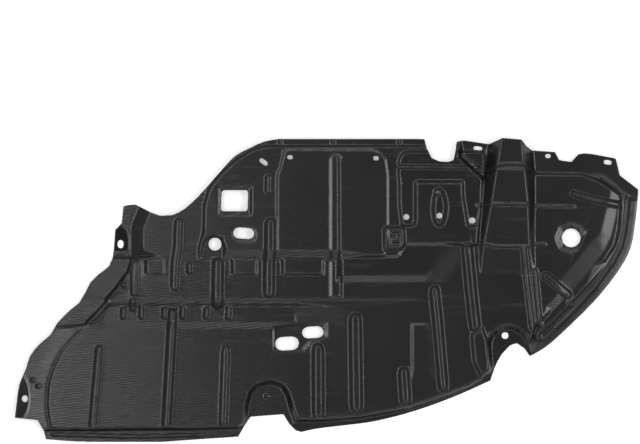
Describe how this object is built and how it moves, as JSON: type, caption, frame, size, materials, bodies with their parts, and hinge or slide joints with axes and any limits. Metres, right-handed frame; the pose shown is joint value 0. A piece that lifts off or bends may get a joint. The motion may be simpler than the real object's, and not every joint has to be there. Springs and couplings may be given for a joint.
{
  "type": "engine splash shield",
  "caption": "Thin moulded engine undercover with a stepped and ribbed floor, a tall channel, fixing tabs and access holes.",
  "frame": {"origin": "centre of the bounding box in plan, at the level that the front flange rests on", "axes": "+X along the length towards the rounded end, +Y towards the edge with the fixing row, +Z out of the face with the raised ribs"},
  "size_m": [0.998, 0.4866, 0.0376],
  "materials": {
    "black_plastic": "fine-grained satin black moulded plastic"
  },
  "bodies": {
    "root": {"splash_shield": "black_plastic"}
  },
  "joints": []
}
